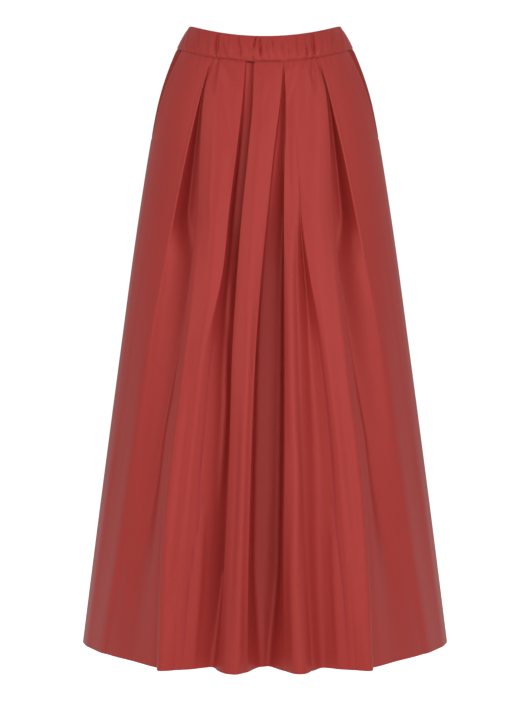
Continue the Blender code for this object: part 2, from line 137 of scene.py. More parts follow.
def wanderedAcross(across, waves):
    # shares of the width, shifted sideways between the two ends, which stay where they are
    shift = sum(size * np.sin(turns * np.pi * across) for size, turns in waves)
    return across + shift * np.sin(np.pi * across)


# folds

def foldWall(t, crisp):
    # from the lip of a fold, 0, to its floor, 1
    t = np.clip(t, 0, 1)
    return crisp * np.sin(0.5 * np.pi * t) + (1 - crisp) * t * t * (3 - 2 * t)


def roundFolds(zones, plan, roundness, foldRound, fineSteps):
    # joins the zones of one level, reads them at even steps and rounds the folds
    angle = np.concatenate([zone[0] for zone in zones])
    rise = np.concatenate([zone[1] for zone in zones])
    slide = np.concatenate([zone[2] for zone in zones])
    halfWidth, depth = plan
    x, y = planPoints(halfWidth, depth, roundness, angle)
    nx, ny = planNormals(halfWidth, depth, roundness, angle)
    x = x + nx * rise + ny * slide
    y = y + ny * rise - nx * slide
    run = np.concatenate([[0.0], np.cumsum(np.hypot(np.diff(x), np.diff(y)))])
    ends = np.cumsum([len(zone[0]) for zone in zones]) - 1
    marks = np.concatenate([[0.0], run[ends]])
    even = np.linspace(0.0, run[-1], fineSteps)
    line = np.column_stack([np.interp(even, run, v) for v in (x, y, np.sin(angle))])
    spread = foldRound / (even[1] - even[0])
    reach = int(4 * spread)
    kernel = np.exp(-0.5 * (np.arange(-reach, reach + 1) / spread) ** 2)
    kernel = kernel / kernel.sum()
    flip = np.array([1.0, -1.0, -1.0])
    before = line[1:reach + 1][::-1] * flip
    after = line[-reach - 1:-1][::-1] * flip
    padded = np.vstack([before, line, after])
    line = np.column_stack([np.convolve(padded[:, k], kernel, "valid") for k in range(3)])
    along = np.gradient(line[:, :2], axis=0)
    along = along / np.linalg.norm(along, axis=1)[:, None]
    normal = np.column_stack([-along[:, 1], along[:, 0]])
    return {"even": even, "line": line, "normal": normal, "marks": marks}


def crease(height, width, *path, creaseShadeAmount=0.0):
    # height above 0 is a ridge, two widths are for the left and the right of the path, the last value lays
    # painted crease shade, a darker purplish red, along the path
    return {"height": height, "width": width, "path": list(path), "creaseShadeAmount": creaseShadeAmount}


def mirroredCrease(made, place):
    # the same crease on the other side; place turns its coordinate across into the mirrored one
    width = made["width"]
    return dict(made, path=[(place(u), v) for u, v in made["path"]],
                width=width[::-1] if isinstance(width, tuple) else width)


def creaseShift(arc, down, path, height, widths):
    # one soft ridge or trough along a path on the flat cloth: (arc, down) points in metres
    nearest = np.full(arc.shape, 1e9)
    side = np.zeros(arc.shape)
    along = np.zeros(arc.shape)
    lengths = np.hypot(np.diff(path[:, 0]), np.diff(path[:, 1]))
    done = 0.0
    for start, end, length in zip(path[:-1], path[1:], lengths):
        stepArc, stepDown = end - start
        t = ((arc - start[0]) * stepArc + (down - start[1]) * stepDown) / length ** 2
        t = np.clip(t, 0, 1)
        offArc = arc - start[0] - t * stepArc
        offDown = down - start[1] - t * stepDown
        distance = np.hypot(offArc, offDown)
        closer = distance < nearest
        nearest = np.where(closer, distance, nearest)
        side = np.where(closer, offArc * stepDown - offDown * stepArc, side)
        along = np.where(closer, (done + t * length) / lengths.sum(), along)
        done += length
    width = np.where(side < 0, widths[0], widths[1]) * mm
    fade = np.sin(np.pi * np.clip(along, 0, 1)) ** 0.6
    return height * mm * fade * np.exp(-(nearest / width) ** 2)


def addCreases(cloth, creases, place):
    # place turns a crease's own coordinates into (arc, down) on the flat cloth
    shift = np.zeros(cloth["arc"].shape)
    for made in creases:
        stops = np.array(made["path"], float)
        steps = np.linspace(0, len(stops) - 1, 8 * (len(stops) - 1) + 1)
        route = [np.interp(steps, np.arange(len(stops)), stops[:, k]) for k in (0, 1)]
        path = np.array([place(u, v) for u, v in zip(*route)])
        widths = made["width"] if isinstance(made["width"], tuple) else (made["width"],) * 2
        reach = 4 * max(widths) * mm
        low, high = path[:, 1].min() - reach, path[:, 1].max() + reach
        rows = np.where((cloth["down"].max(1) > low) & (cloth["down"].min(1) < high))[0]
        if len(rows) == 0:
            continue
        part = slice(rows[0], rows[-1] + 1)
        shift[part] += creaseShift(cloth["arc"][part], cloth["down"][part], path,
                                   made["height"], widths)
    return shift


def pressedLines(cloth, creases, place):
    # the painted crease shade the material reads: how much darker purplish red lies along the marked lines
    marked = [dict(made, height=made["creaseShadeAmount"] / mm) for made in creases if made["creaseShadeAmount"]]
    return np.clip(addCreases(cloth, marked, place), 0, 1)


# meshes

def addObject(name, data):
    made = bpy.data.objects.new(name, data)
    bpy.context.scene.collection.objects.link(made)
    return made


def clothObject(name, points, faces, flat, pressed, sharpAngle):
    # flat is each point's place on the flat cloth, and the last array the painted crease shade along the
    # marked lines
    mesh = bpy.data.meshes.new(name)
    mesh.from_pydata(points.tolist(), [], faces)
    corners = np.zeros(len(mesh.loops), np.int32)
    mesh.loops.foreach_get("vertex_index", corners)
    uv = mesh.uv_layers.new(name="cloth")
    uv.data.foreach_set("uv", flat[corners].ravel())
    mark = mesh.attributes.new("pressed", "FLOAT", "POINT")
    mark.data.foreach_set("value", pressed)
    mesh.shade_smooth()
    mesh.set_sharp_from_angle(angle=math.radians(sharpAngle))
    return addObject(name, mesh)


def shellObject(name, outer, inner, flat, pressed, side):
    # a closed sheet of cloth between two grids of points; side is -1 at the front, +1 at the back
    rows, columns = outer.shape[:2]
    count = rows * columns
    index = np.arange(count).reshape(rows, columns)
    under = index + count

    def quads(a, b, c, d):
        faces = np.stack([a, b, c, d], -1).reshape(-1, 4)
        return faces if side < 0 else faces[:, ::-1]

    faces = np.concatenate([
        quads(index[:-1, :-1], index[1:, :-1], index[1:, 1:], index[:-1, 1:]),
        quads(under[:-1, :-1], under[:-1, 1:], under[1:, 1:], under[1:, :-1]),
        quads(index[0, :-1], index[0, 1:], under[0, 1:], under[0, :-1]),
        quads(index[-1, :-1], under[-1, :-1], under[-1, 1:], index[-1, 1:]),
        quads(index[:-1, 0], under[:-1, 0], under[1:, 0], index[1:, 0]),
        quads(index[:-1, -1], index[1:, -1], under[1:, -1], under[:-1, -1]),
    ])
    points = np.concatenate([outer.reshape(-1, 3), inner.reshape(-1, 3)])
    return clothObject(name, points, faces.tolist(), np.tile(flat.reshape(-1, 2), (2, 1)),
                       np.tile(pressed.ravel(), 2), skirtForm["sharpAngle"])


def levelHeight(share, sine, dip):
    seam = skirtForm["seamHeight"] - dip * sine ** skirtForm["dipCurve"]
    return seam + (skirtForm["hemHeight"] - seam) * share


def layCloth(lineFor, placesFor, rows, dip):
    # reads one point grid off the rounded lines of all levels
    parts = {"x": [], "y": [], "nx": [], "ny": [], "sine": [], "arc": [], "marks": []}
    for share in rows:
        fine = lineFor(share)
        at = placesFor(share, fine["marks"])
        for key, source in (("x", fine["line"][:, 0]), ("y", fine["line"][:, 1]),
                            ("sine", fine["line"][:, 2]), ("nx", fine["normal"][:, 0]),
                            ("ny", fine["normal"][:, 1])):
            parts[key].append(np.interp(at, fine["even"], source))
        parts["arc"].append(at)
        parts["marks"].append(fine["marks"])
    cloth = {key: np.array(values) for key, values in parts.items()}
    cloth["share"] = np.array(rows)
    cloth["down"] = np.repeat(cloth["share"][:, None], cloth["arc"].shape[1], 1) * skirtForm["clothLength"]
    sine = np.clip(cloth["sine"], 0, 1)
    cloth["z"] = levelHeight(cloth["share"][:, None], sine, dip)
    cloth["width"] = cloth["marks"][:, -1:]
    cloth["fromSeam"] = np.minimum(cloth["arc"], cloth["width"] - cloth["arc"])
    return cloth


def zonePlace(cloth):
    # (zone, share down) to (arc, down); zone 2.5 is half way across the zone of index 2
    def place(zone, share):
        along = np.array([np.interp(share, cloth["share"], cloth["marks"][:, k])
                          for k in range(cloth["marks"].shape[1])])
        return np.interp(zone, np.arange(len(along)), along), share * skirtForm["clothLength"]
    return place


def skirtRows(count):
    # rows from the band to the hem, closer together near the band, with two for the turned edge
    t = np.linspace(0, 1, count)
    even = skirtForm["evenRows"]
    rows = even * t + (1 - even) * t ** skirtForm["rowCurve"]
    return np.concatenate([rows[:-1], [1 - share for share in skirtForm["hemRows"]], [1.0]])


def finishCloth(cloth, shift, thickness, side):
    # moves the points along their normals, adds the inside and returns both skins
    out = shift
    for edge, distance in (("seamTuck", cloth["down"]), ("sideTuck", cloth["fromSeam"])):
        out = out - skirtForm[edge] * (1 - easeBetween(0, skirtForm[edge + "Reach"], distance))
    skins = []
    for inset in (0.0, thickness):
        x = cloth["x"] + cloth["nx"] * (out - inset)
        y = cloth["y"] + cloth["ny"] * (out - inset)
        skins.append(np.stack([x, side * np.maximum(y, 0.0), cloth["z"]], -1))
    flat = np.stack([cloth["arc"] - 0.5 * cloth["width"], -cloth["down"]], -1)
    return skins[0], skins[1], flat


def doubledThickness(cloth, fromEdge):
    # the cloth is turned in and double along the hem and along its side edges
    toHem = skirtForm["clothLength"] - cloth["down"]
    turned = 0.0
    for width, distance in ((skirtForm["hemTurn"], toHem), (skirtForm["seamTurn"], fromEdge)):
        turned = np.maximum(turned, easeBetween(width + skirtForm["turnStep"], width, distance))
    return skirtForm["clothThickness"] + skirtForm["turnThickness"] * turned


def makePanel(name, cloth, creases, shift, fromEdge, side):
    place = zonePlace(cloth)
    shift = shift + addCreases(cloth, creases, place)
    outer, inner, flat = finishCloth(cloth, shift, doubledThickness(cloth, fromEdge), side)
    panel = shellObject(name, outer, inner, flat, pressedLines(cloth, creases, place), side)
    print(name, "has", len(panel.data.vertices), "points")
    return panel


# front panel

frontPanel = {
    "levels": (0, 0.06, 0.15, 0.25, 0.35, 0.5, 0.65, 0.82, 1),
    # One row of values a pleat, at the nine levels. left and right are the lips across the front,
    # depth the fold between them, lift how far a lip stands out from the plan, slope how much of
    # the pleat's width the wall below a lip takes, crisp 1 a pressed edge and 0 a soft roll,
    # under how far the floor runs in below a lip, and tilt how much shallower the floor is at
    # its left, or below 0 at its right.
    "outerPleat": {
        "far": (0.0825, 0.097, 0.116, 0.134, 0.151, 0.1725, 0.1885, 0.211, 0.2405),
        "near": (0.0775, 0.0935, 0.099, 0.101, 0.109, 0.126, 0.1435, 0.15, 0.1495),
        "depth": (0.001, 0.0055, 0.0205, 0.029, 0.032, 0.029, 0.02, 0.011, 0.004),
        "tilt": (0, 0, 0.05, 0, 0.1, 0.15, 0.1, 0.1, 0),
        "liftFar": (0, 0.001, 0.002, 0.003, 0.003, 0.0035, 0.004, 0.0045, 0.004),
        "liftNear": (0, 0.001, 0.002, 0.004, 0.006, 0.009, 0.013, 0.018, 0.022),
        "slopeFar": (0.15, 0.12, 0.12, 0.15, 0.75, 0.72, 0.6, 0.55, 0.5),
        "slopeNear": (0.4, 0.2, 0.12, 0.16, 0.3, 0.4, 0.45, 0.5, 0.5),
        "crispFar": (1, 1, 1, 0.9, 0.4, 0.2, 0.1, 0, 0),
        "crispNear": (0.8, 0.9, 1, 0.9, 0.5, 0.2, 0, 0, 0),
        "underFar": (0.001, 0.003, 0.003, 0.002, 0.001, 0, 0, 0, 0),
    },
    "innerLeft": {
        "left": (-0.03, -0.0335, -0.042, -0.0525, -0.061, -0.0885, -0.1045, -0.1165, -0.125),
        "right": (-0.017, -0.0185, -0.0255, -0.0345, -0.0415, -0.049, -0.0525, -0.0595, -0.068),
        "tilt": (0.75, 0.5, 0.15, 0.12, 0.28, 0.3, 0.3, 0.42, 0.5),
        "depth": (0.0085, 0.0135, 0.0225, 0.028, 0.03, 0.0295, 0.0315, 0.034, 0.031),
        "liftLeft": (0, 0.001, 0.003, 0.005, 0.008, 0.011, 0.013, 0.018, 0.022),
        "liftRight": (0, 0.001, 0.002, 0.003, 0.004, 0.005, 0.005, 0.004, 0.003),
        "slopeLeft": (0.15, 0.15, 0.12, 0.12, 0.14, 0.75, 0.88, 0.88, 0.74),
        "slopeRight": (0.15, 0.12, 0.1, 0.1, 0.1, 0.1, 0.12, 0.16, 0.35),
        "crispLeft": (1, 1, 1, 1, 0.8, 0.3, 0.2, 0.1, 0),
        "crispRight": (1, 1, 1, 1, 1, 1, 1, 0.9, 0.5),
        "underLeft": (0, 0.001, 0.001, 0.001, 0, 0, 0, 0, 0),
        "underRight": (0.001, 0.002, 0.003, 0.003, 0.002, 0.002, 0.002, 0.001, 0),
    },
    "middle": {
        "tilt": (0.6, 0.6, 0.55, 0.35, 0.08, 0, 0, 0, 0.15),
        "left": (0.028, 0.024, 0.014, 0.005, -0.004, -0.014, -0.019, -0.023, -0.0255),
        "right": (0.03, 0.0295, 0.029, 0.028, 0.028, 0.0285, 0.028, 0.0265, 0.0295),
        "depth": (0.0008, 0.0085, 0.015, 0.026, 0.04, 0.05, 0.053, 0.049, 0.038),
        "liftLeft": (0, 0.001, 0.001, 0.001, 0.002, 0.004, 0.007, 0.006, 0),
        "liftRight": (0, 0.001, 0.001, 0.001, 0.002, 0.003, 0.004, 0, -0.008),
        "slopeLeft": (0.2, 0.25, 0.16, 0.08, 0.06, 0.06, 0.06, 0.06, 0.3),
        "slopeRight": (0.15, 0.12, 0.1, 0.08, 0.06, 0.06, 0.07, 0.1, 0.42),
        "crispLeft": (1,) * 9,
        "crispRight": (1, 1, 1, 1, 1, 1, 1, 1, 0.5),
        "underLeft": (0, 0.001, 0.002, 0.003, 0.004, 0.004, 0.004, 0.003, 0.001),
        "underRight": (0, 0.001, 0.003, 0.005, 0.006, 0.006, 0.006, 0.006, 0.001),
    },
    "innerRight": {
        "left": (0.049, 0.0485, 0.048, 0.0485, 0.0465, 0.049, 0.053, 0.0595, 0.068),
        "right": (0.052, 0.0515, 0.051, 0.0535, 0.064, 0.0875, 0.1045, 0.1155, 0.125),
        "tilt": (0, 0, 0, 0.3, 0.25, 0.1, 0, -0.1, -0.3),
        "depth": (0, 0, 0, 0.0025, 0.013, 0.021, 0.026, 0.028, 0.028),
        "liftLeft": (0, 0, 0.001, 0.002, 0.004, 0.006, 0.007, 0.006, 0.003),
        "liftRight": (0, 0, 0.001, 0.003, 0.006, 0.011, 0.013, 0.018, 0.022),
        "slopeLeft": (0.5, 0.5, 0.6, 0.8, 0.8, 0.82, 0.85, 0.6, 0.5),
        "slopeRight": (0.4, 0.25, 0.2, 0.15, 0.2, 0.6, 0.72, 0.85, 0.74),
        "crispLeft": (0.3, 0.3, 0.3, 0.3, 0.2, 0.3, 0.4, 0.5, 0.3),
        "crispRight": (0.5, 0.8, 1, 1, 1, 0.4, 0.2, 0.1, 0),
        "underLeft": (0,) * 9,
        "underRight": (0, 0, 0, 0.001, 0.001, 0, 0, 0, 0),
    },
    # rise of the cloth between two pleats, at the same levels, from the left side to the right
    "crowns": (
        (0,) * 9,
        (0.002, 0.003, 0.004, 0.005, 0.005, 0.006, 0.008, 0.012, 0.017),
        (0.002, 0.003, 0.004, 0.005, 0.006, 0.005, 0.005, 0.008, 0.017),
        (0.001, 0.0015, 0.002, 0.0025, 0.004, 0.005, 0.006, 0.011, 0.021),
        (0.001, 0.002, 0.004, 0.005, 0.005, 0.006, 0.008, 0.012, 0.017),
        (0,) * 9,
    ),
    "zoneSteps": 90,
    "foldRound": 0.0008,
    "fineSteps": 2800,
    # columns across each kind of zone, and how much closer together they are at its ends
    "columns": {"side": (46, 0.55), "pleat": (34, 0.6), "strip": (24, 0.65)},
    "rows": 128,
    "pocketMouth": 0.041,       # from the side seam to the slanted edge, at the band
    "pocketEnd": 0.15,         # share of the way down where the edge meets the side seam
    "pocketCurve": 0.18,
    "pocketLift": 0.002,
    "pocketLiftReach": 0.01,
}


def mirroredPleat(far, toTheRight):
    # the outer pleat as a left one or, mirrored, as a right one
    sides = ("Left", "Right") if not toTheRight else ("Right", "Left")
    pleat = {"depth": far["depth"]}
    sign = 1 if toTheRight else -1
    pleat[sides[0].lower()] = tuple(sign * x for x in far["far"])
    pleat[sides[1].lower()] = tuple(sign * x for x in far["near"])
    for kind in ("lift", "slope", "crisp"):
        pleat[kind + sides[0]] = far[kind + "Far"]
        pleat[kind + sides[1]] = far[kind + "Near"]
    pleat["tilt"] = tuple(-sign * t for t in far["tilt"])
    pleat["under" + sides[0]] = far["underFar"]
    pleat["under" + sides[1]] = tuple(0.0 for _ in far["depth"])
    return pleat


frontPleats = [
    mirroredPleat(frontPanel["outerPleat"], False),
    frontPanel["innerLeft"],
    frontPanel["middle"],
    frontPanel["innerRight"],
    mirroredPleat(frontPanel["outerPleat"], True),
]


def frontZones(share):
    # one level of the front as zones of (angle, rise, slide): side, pleat, strip, pleat ... side
    halfWidth, _, _, roundness = skirtPlan(share)
    levels = frontPanel["levels"]
    zones = []
    steps = np.linspace(0, 1, frontPanel["zoneSteps"])
    level = np.zeros_like(steps)
    angleBefore = np.pi
    liftBefore = 0.0
    for pleat, crowns in zip(frontPleats, frontPanel["crowns"]):
        now = {name: smoothThrough(levels, values, share) for name, values in pleat.items()}
        crown = smoothThrough(levels, crowns, share)
        angleLeft = angleFor(halfWidth, roundness, now["left"])
        rise = liftBefore + (now["liftLeft"] - liftBefore) * steps + crown * np.sin(np.pi * steps)
        zones.append((angleBefore + (angleLeft - angleBefore) * steps, rise, level))
        shape = foldWall(steps / now["slopeLeft"], now["crispLeft"])
        shape = shape * foldWall((1 - steps) / now["slopeRight"], now["crispRight"])
        shape = shape * (1 - max(now["tilt"], 0.0) * (1 - steps) - max(-now["tilt"], 0.0) * steps)
        rise = now["liftLeft"] + (now["liftRight"] - now["liftLeft"]) * steps - now["depth"] * shape
        slide = shape * (now["underRight"] * steps - now["underLeft"] * (1 - steps))
        x = now["left"] + (now["right"] - now["left"]) * steps
        zones.append((angleFor(halfWidth, roundness, x), rise, slide))
        angleBefore = zones[-1][0][-1]
        liftBefore = now["liftRight"]
    crown = smoothThrough(levels, frontPanel["crowns"][-1], share)
    rise = liftBefore * (1 - steps) + crown * np.sin(np.pi * steps)
    zones.append((angleBefore * (1 - steps), rise, level))
    return zones


def frontLine(share):
    halfWidth, depth, _, roundness = skirtPlan(share)
    return roundFolds(frontZones(share), (halfWidth, depth), roundness,
                      frontPanel["foldRound"], frontPanel["fineSteps"])


def pocketMouth(share):
    left = max(0.0, 1 - share / frontPanel["pocketEnd"])
    return max(0.5 * skirtForm["gap"], frontPanel["pocketMouth"] * left ** frontPanel["pocketCurve"])


def gatheredShares(count, toEnds):
    # shares of a zone's length, closer together towards its two ends
    t = np.linspace(0, 1, count + 1)
    return (1 - toEnds) * t + toEnds * 0.5 * (1 - np.cos(np.pi * t))


def frontPlaces(share, marks):
    bounds = marks.copy()
    mouth = pocketMouth(share)
    bounds[0] = mouth
    bounds[-1] = marks[-1] - mouth
    last = len(bounds) - 2
    at = []
    for zone in range(last + 1):
        kind = "side" if zone in (0, last) else ("pleat" if zone % 2 else "strip")
        shares = gatheredShares(*frontPanel["columns"][kind])[:-1]
        at.append(bounds[zone] + (bounds[zone + 1] - bounds[zone]) * shares)
    return np.concatenate(at + [bounds[-1:]])


# Creases and ripples of the front: path points are (zone, share of the way down). Zones from the
# left: 0 side, 1 outer pleat, 2 strip, 3 inner pleat, 4 strip, 5 middle pleat, 6 strip,
# 7 inner right pleat, 8 strip, 9 outer pleat, 10 side.
sideRipples = [                 # on the left, and mirrored on the right
    crease(0.7, 2, (0.985, 0.02), (0.985, 0.1), (0.985, 0.22), (0.98, 0.36)),
    crease(1, 3, (0.98, 0.24), (0.98, 0.35), (0.96, 0.52)),
    crease(4.5, (20, 12), (0.97, 0.38), (0.93, 0.58), (0.91, 0.82), (0.87, 1.06)),
    crease(-1.8, 9, (1.58, 0.4), (1.9, 0.57), (1.5, 0.74), (1.24, 0.96)),
    crease(2.4, 7, (2.08, 0.28), (2.18, 0.4), (2.45, 0.57), (2.44, 0.73), (2.33, 0.94)),
    crease(1.6, 9, (2.61, 0.13), (2.61, 0.32), (2.85, 0.48)),
    crease(3.4, 8.5, (2.78, 0.4), (2.95, 0.57), (3, 0.73), (3, 0.89), (2.96, 1.12)),
    crease(-1.8, 7, (2.66, 0.43), (2.8, 0.57), (2.72, 0.73), (2.61, 0.89), (2.56, 1.04)),
    crease(-0.8, 1.3, (3.14, 0.43), (3.17, 0.65), (3.2, 0.77), (3.14, 0.88), (3.13, 1.02), creaseShadeAmount=0.9),
    crease(2.2, (8, 5), (3.28, 0.74), (3.3, 0.83), (3.32, 0.9), (3.34, 1.02)),
    crease(-0.9, 1.3, (3.2, 0.722), (3.28, 0.73), (3.33, 0.74), creaseShadeAmount=0.5),
    crease(-0.8, 1.2, (3.24, 0.779), (3.32, 0.787), (3.38, 0.799), creaseShadeAmount=0.4),
    crease(-1.2, 1.6, (0.63, -0.004), (0.64, 0.014)),
    crease(-0.9, 1.3, (0.79, -0.004), (0.78, 0.022)),
    crease(-0.8, 1.3, (0.9, -0.004), (0.9, 0.011)),
    crease(0.5, 6, (0.3, 0.16), (0.34, 0.4), (0.4, 0.66)),
    crease(-0.6, 9, (0.62, 0.3), (0.6, 0.55), (0.52, 0.8)),
    crease(1.6, 12, (0.45, 0.62), (0.42, 0.8), (0.38, 1.05)),
]
middleRipples = [
    crease(1.6, 8, (4.28, 0.1), (4.39, 0.23), (4.55, 0.36), (4.65, 0.5)),
    crease(4.5, 6.5, (4.66, 0.4), (4.66, 0.6), (4.67, 0.8), (4.67, 1.1)),
    crease(-1, 4, (4.44, 0.6), (4.44, 0.8), (4.4, 1)),
    crease(0.6, 5, (5.54, 0.66), (5.5, 0.83), (5.46, 1.04)),
    crease(1.6, 6, (6.4, 0.3), (6.44, 0.5), (6.5, 0.65)),
    crease(3, 8, (6.58, 0.56), (6.66, 0.68), (6.42, 0.86), (6.36, 1.06)),
    crease(3, 4.5, (3.4, 0.36), (3.47, 0.47), (3.54, 0.58), (3.54, 0.74)),
    crease(-4.5, (4.5, 6), (6.16, 0.02), (6.3, 0.11), (6.42, 0.19), (6.62, 0.28)),
    crease(1.6, (2.5, 5), (6.66, 0.03), (6.96, 0.11), (7.83, 0.153), (8.12, 0.24)),
    crease(-2.8, 5.5, (2.48, 0.05), (2.67, 0.11), (2.86, 0.155), (2.94, 0.22)),
    crease(1.2, 5, (2.38, 0.05), (2.42, 0.12), (2.44, 0.24), (2.66, 0.32)),
    crease(-1.3, 4.5, (8.33, 0.03), (8.33, 0.09), (8.4, 0.16)),
    crease(-1.1, 1.1, (3.07, 0.297), (3.3, 0.299), (3.6, 0.297), creaseShadeAmount=0.5),
    crease(0.8, 2.2, (3.07, 0.303), (3.3, 0.305), (3.6, 0.303)),
    crease(-0.7, 1, (4.48, 0.311), (4.67, 0.31), (4.9, 0.309)),
    crease(-0.9, 1.2, (4.86, 0.503), (4.93, 0.512), (4.97, 0.522)),
    crease(-0.6, 1, (5.4, 0.85), (5.46, 0.853), (5.52, 0.853)),
    crease(-0.9, 1.2, (5.91, 0.905), (5.95, 0.917), (5.93, 0.932)),
    crease(-0.9, 1.2, (5.99, 0.931), (5.94, 0.95), (5.99, 0.975)),
    crease(1.1, 3.2, (2.36, 0.008), (2.61, 0.03), (2.88, 0.058)),
    crease(1, 4, (2.8, 0.038), (2.84, 0.063), (2.84, 0.1)),
    crease(0.8, 2, (2.18, 0.001), (2.28, 0.03), (2.33, 0.058)),
    crease(-3.6, (1.4, 3), (2.08, -0.008), (2.18, 0.027), (2.27, 0.062)),
    crease(-2.8, (3, 1.4), (8.86, -0.008), (8.67, 0.023), (8.52, 0.062)),
    crease(-1, 1.3, (2.3, 0.026), (2.45, 0.04), (2.66, 0.066)),
    crease(0.9, 4.5, (4.2, 0.008), (4.4, 0.04), (4.3, 0.075)),
    crease(-0.8, 2.4, (4.55, 0.03), (4.45, 0.075), (4.62, 0.13)),
    crease(0.8, 5, (6.3, 0.01), (6.4, 0.036), (6.34, 0.075)),
    crease(-0.9, 2.6, (6.95, 0.03), (6.67, 0.05), (6.4, 0.074)),
    crease(0.9, 3, (8.28, 0.002), (8.25, 0.037), (8.25, 0.09)),
    crease(-0.8, 1.8, (8.52, 0.002), (8.6, 0.03), (8.7, 0.066)),
]
bandPuckers = [                 # where the cloth is gathered into the band: zone, length, height
    (2.14, 0.014, -1.2), (2.44, 0.01, -0.9), (2.67, 0.022, -1.1), (2.88, 0.012, -0.8), (3.86, 0.03, -1.6),
    (4.18, 0.018, -1.2), (4.39, 0.01, -0.8), (4.6, 0.016, -1), (4.84, 0.012, -0.9), (6.2, 0.013, -1),
    (6.52, 0.02, -0.9), (6.8, 0.011, -1.1), (8.1, 0.016, -1.1), (8.42, 0.011, -0.9), (8.78, 0.019, -1.2),
]
for zone, length, height in bandPuckers:
    middleRipples.append(crease(height, 1.4, (zone, -0.004), (zone, length)))


frontCreases = sideRipples + [mirroredCrease(made, lambda u: 11 - u) for made in sideRipples]
frontCreases += middleRipples

cloth = layCloth(frontLine, frontPlaces, skirtRows(frontPanel["rows"]), skirtForm["seamDipFront"])
mouths = np.array([pocketMouth(share) for share in cloth["share"]])[:, None]
fromMouth = cloth["fromSeam"] - mouths
openShare = np.clip(cloth["share"][:, None] / frontPanel["pocketEnd"], 0, 1)
mouthLift = frontPanel["pocketLift"] * 4 * openShare * (1 - openShare) * np.exp(
    -(fromMouth / frontPanel["pocketLiftReach"]) ** 2)
frontPanelCloth = makePanel("frontPanelCloth", cloth, frontCreases, mouthLift, fromMouth, -1)


# back panel

backPanel = {
    # where each soft fold starts at the band and ends at the hem, as shares of the way across,
    # its depth at the hem and its half width there in the same shares
    "folds": [
        (0.15, 0.115, 0.02, 0.055),
        (0.27, 0.235, 0.034, 0.055),
        (0.39, 0.37, 0.04, 0.06),
        (0.5, 0.495, 0.028, 0.045),
        (0.6, 0.625, 0.042, 0.062),
        (0.72, 0.755, 0.032, 0.055),
        (0.85, 0.88, 0.022, 0.058),
    ],
    "foldAtBand": 0.0022,
    "foldGrowth": 0.75,
    "crown": 0.5,
    "sideFade": 0.13,
    "gathers": 20,
    "gatherDepth": 0.002,
    "gatherReach": 0.22,
    "gatherWander": ((0.006, 11), (0.004, 17)),
    "troughWidth": 0.62,
    "zoneSteps": 1200,
    "foldRound": 0.0022,
    "fineSteps": 2000,
    "columns": 250,
    "rows": 120,
}


def backZones(share):
    steps = np.linspace(0, 1, backPanel["zoneSteps"])
    growth = share ** backPanel["foldGrowth"]
    rise = np.zeros_like(steps)
    for band, hem, depth, width in backPanel["folds"]:
        place = band + (hem - band) * share
        here = backPanel["foldAtBand"] * (1 - share) + depth * growth
        trough = np.exp(-((steps - place) / (backPanel["troughWidth"] * width)) ** 2)
        rise = rise + here * (backPanel["crown"] / len(backPanel["folds"]) - trough)
    rise = rise * easeBetween(0.0, backPanel["sideFade"], np.minimum(steps, 1 - steps))
    fade = max(0.0, 1 - share / backPanel["gatherReach"]) ** 2
    wave = np.cos(2 * np.pi * backPanel["gathers"] * wanderedAcross(steps, backPanel["gatherWander"]))
    rise = rise + backPanel["gatherDepth"] * fade * wave * np.sin(np.pi * steps)
    return [(np.pi * (1 - steps), rise, np.zeros_like(steps))]


def backLine(share):
    halfWidth, _, depth, roundness = skirtPlan(share)
    return roundFolds(backZones(share), (halfWidth, depth), roundness,
                      backPanel["foldRound"], backPanel["fineSteps"])


def backPlaces(share, marks):
    gap = 0.5 * skirtForm["gap"]
    return gap + (marks[-1] - 2 * gap) * np.linspace(0, 1, backPanel["columns"] + 1)


# Ripples of the back: path points are (share of the way across, share of the way down)
backCreases = [
    crease(2, 13, (0.08, 0.3), (0.06, 0.62), (0.05, 1.04)),
    crease(-1.4, 8, (0.21, 0.35), (0.18, 0.7), (0.165, 1.04)),
    crease(1.8, 7, (0.33, 0.24), (0.32, 0.55), (0.305, 0.86)),
    crease(-0.9, 1.4, (0.345, 0.46), (0.335, 0.7), (0.325, 1.02), creaseShadeAmount=0.7),
    crease(2.4, 8, (0.44, 0.4), (0.43, 0.7), (0.425, 1.05)),
    crease(-0.9, 1.2, (0.47, 0.302), (0.5, 0.3), (0.54, 0.303)),
    crease(-1.6, 6, (0.55, 0.18), (0.56, 0.45), (0.565, 0.7)),
    crease(2, 8, (0.66, 0.42), (0.68, 0.7), (0.695, 1.04)),
    crease(-0.9, 1.4, (0.655, 0.5), (0.668, 0.74), (0.675, 1.02), creaseShadeAmount=0.7),
    crease(-1, 1.3, (0.64, 0.716), (0.655, 0.727), (0.66, 0.742), creaseShadeAmount=0.3),
    crease(1.7, 7, (0.79, 0.28), (0.81, 0.6), (0.82, 0.92)),
    crease(2.1, 13, (0.93, 0.34), (0.94, 0.66), (0.95, 1.04)),
    crease(-1.1, 9, (0.87, 0.12), (0.89, 0.4), (0.91, 0.62)),
    crease(-1, 8, (0.12, 0.1), (0.11, 0.34), (0.095, 0.55)),
]
for k in range(1, 24):
    across = k / 24 + 0.008 * math.sin(5.1 * k)
    backCreases.append(crease(-1.1 - 0.4 * math.sin(2.3 * k), 1.5 + 0.4 * math.sin(3.9 * k),
                              (across, -0.004), (across, 0.018 + 0.009 * math.sin(1.9 * k))))

cloth = layCloth(backLine, backPlaces, skirtRows(backPanel["rows"]), skirtForm["seamDipBack"])
backPanelCloth = makePanel("backPanelCloth", cloth, backCreases, 0.0, cloth["fromSeam"], 1)


# pocket facings

pocketFacing = {
    "lap": 0.014,               # how far the facing runs on under the front panel
    "inset": 0.0012,
    "fade": (0.004, 0.022),
    "endShare": 0.165,
    "rows": 70,
    "columns": 40,
    "thickness": 0.0007,
}


